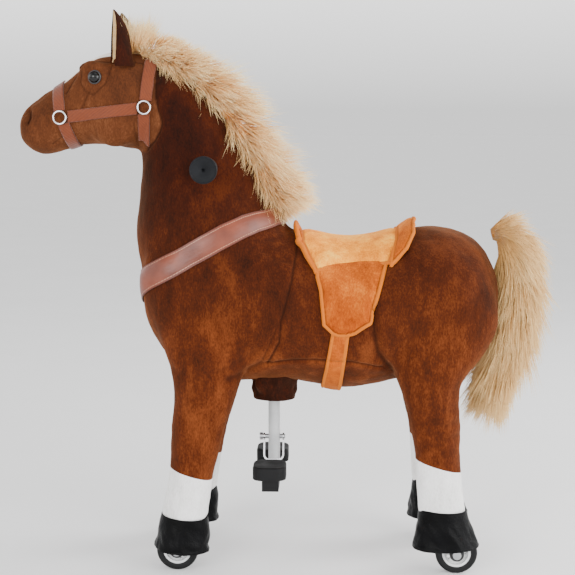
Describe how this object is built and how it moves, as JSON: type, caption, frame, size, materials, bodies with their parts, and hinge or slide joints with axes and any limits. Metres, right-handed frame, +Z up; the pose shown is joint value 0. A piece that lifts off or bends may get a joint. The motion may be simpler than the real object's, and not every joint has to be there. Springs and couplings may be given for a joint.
{
  "type": "plush ride-on horse",
  "caption": "Plush ride-on horse on wheels with a steering handlebar, sprung swinging legs, saddle and adjustable footrest.",
  "frame": {"origin": "on the floor, under the middle of the overall box", "axes": "+Z up; the horse faces -X, its left side is -Y"},
  "size_m": [0.9045, 0.316, 0.935],
  "materials": {
    "frame_steel": "matt black powder coat",
    "bush_plastic": "moulded nylon",
    "plywood": "plain plywood",
    "plated_steel": "zinc plated",
    "brown_velour": "short pile velour over stuffing",
    "dark_velour": "short pile velour, gathered",
    "tan_velour": "short pile velour over foam",
    "halter_webbing": "twill woven webbing",
    "ring_metal": "bright plated wire",
    "brown_leather": "stitched leatherette",
    "black_leather": "creased leatherette",
    "white_plush": "short pile plush",
    "long_plush": "combed long pile plush",
    "eye_plastic": "polished",
    "grip_rubber": "moulded, matt",
    "post_paint": "pale grey paint",
    "tyre_rubber": "moulded",
    "hub_plastic": "moulded white plastic"
  },
  "bodies": {
    "frame": {"main_frame": "frame_steel", "head_tube_bushes": "bush_plastic", "saddle_board": "plywood", "board_screws": "plated_steel", "barrel": "brown_velour", "rump": "brown_velour", "tail": "long_plush", "saddle_seat": "tan_velour", "saddle_pommel": "tan_velour", "saddle_cantle": "tan_velour", "saddle_flap_left": "tan_velour", "saddle_flap_right": "tan_velour", "girth_strap": "tan_velour"},
    "steering": {"steering_column": "frame_steel", "stop_collar": "plated_steel", "head_frame": "frame_steel", "handlebar": "plated_steel", "grips": "grip_rubber", "chest": "brown_velour", "neck": "brown_velour", "breast_collar": "brown_leather", "footrest_sleeve": "dark_velour", "footrest_post": "post_paint", "head": "brown_velour", "eyes": "eye_plastic", "ears": "brown_velour", "forelock": "long_plush", "mane": "long_plush", "noseband": "halter_webbing", "chin_strap": "halter_webbing", "crown_strap": "halter_webbing", "throat_strap": "halter_webbing", "cheek_straps": "halter_webbing", "halter_rings": "ring_metal", "lock_pin": "plated_steel"},
    "footrest": {"footrest_tee": "plated_steel", "foot_pegs": "grip_rubber"},
    "bail": {"lock_bail": "plated_steel"},
    "front_legs": {"front_fork": "frame_steel", "front_fork_axle": "plated_steel", "front_wheel_bolts": "plated_steel", "foreleg_left": "brown_velour", "foreleg_right": "brown_velour", "fore_socks": "white_plush", "fore_hoof_covers": "black_leather"},
    "rear_legs": {"rear_fork": "frame_steel", "rear_fork_axle": "plated_steel", "rear_wheel_bolts": "plated_steel", "hindleg_left": "brown_velour", "hindleg_right": "brown_velour", "hind_socks": "white_plush", "hind_hoof_covers": "black_leather"},
    "front_wheel_left": {"front_tyre_left": "tyre_rubber", "front_hub_left": "hub_plastic"},
    "front_wheel_right": {"front_tyre_right": "tyre_rubber", "front_hub_right": "hub_plastic"},
    "rear_wheel_left": {"rear_tyre_left": "tyre_rubber", "rear_hub_left": "hub_plastic"},
    "rear_wheel_right": {"rear_tyre_right": "tyre_rubber", "rear_hub_right": "hub_plastic"}
  },
  "joints": [
    {"name": "steer", "type": "hinge", "parent": "frame", "child": "steering", "pos_m": [-0.128, 0, 0.533], "axis": [0, 0, 1], "range_deg": [-12, 12]},
    {"name": "front_swing", "type": "hinge", "parent": "steering", "child": "front_legs", "pos_m": [-0.128, 0, 0.45], "axis": [0, 1, 0], "range_deg": [0, 14], "stiffness_Nm_per_rad": 60, "springref_deg": -8.59},
    {"name": "rear_swing", "type": "hinge", "parent": "frame", "child": "rear_legs", "pos_m": [0.23, 0, 0.45], "axis": [0, -1, 0], "range_deg": [0, 14], "stiffness_Nm_per_rad": 60, "springref_deg": -8.59},
    {"name": "footrest_slide", "type": "slide", "parent": "steering", "child": "footrest", "axis": [0, 0, -1], "range_m": [0, 0.045]},
    {"name": "bail_swing", "type": "hinge", "parent": "steering", "child": "bail", "pos_m": [-0.023, 0, 0.208], "axis": [-1, 0, 0], "range_deg": [0, 110]},
    {"name": "front_wheel_left_spin", "type": "hinge", "parent": "front_legs", "child": "front_wheel_left", "pos_m": [-0.182, -0.09, 0.035], "axis": [0, 1, 0], "continuous": true},
    {"name": "front_wheel_right_spin", "type": "hinge", "parent": "front_legs", "child": "front_wheel_right", "pos_m": [-0.182, 0.09, 0.035], "axis": [0, 1, 0], "continuous": true},
    {"name": "rear_wheel_left_spin", "type": "hinge", "parent": "rear_legs", "child": "rear_wheel_left", "pos_m": [0.286, -0.092, 0.035], "axis": [0, 1, 0], "continuous": true},
    {"name": "rear_wheel_right_spin", "type": "hinge", "parent": "rear_legs", "child": "rear_wheel_right", "pos_m": [0.286, 0.092, 0.035], "axis": [0, 1, 0], "continuous": true}
  ],
  "couplings": [
    {"joint": "rear_swing", "follows": "front_swing", "ratio": 1}
  ]
}
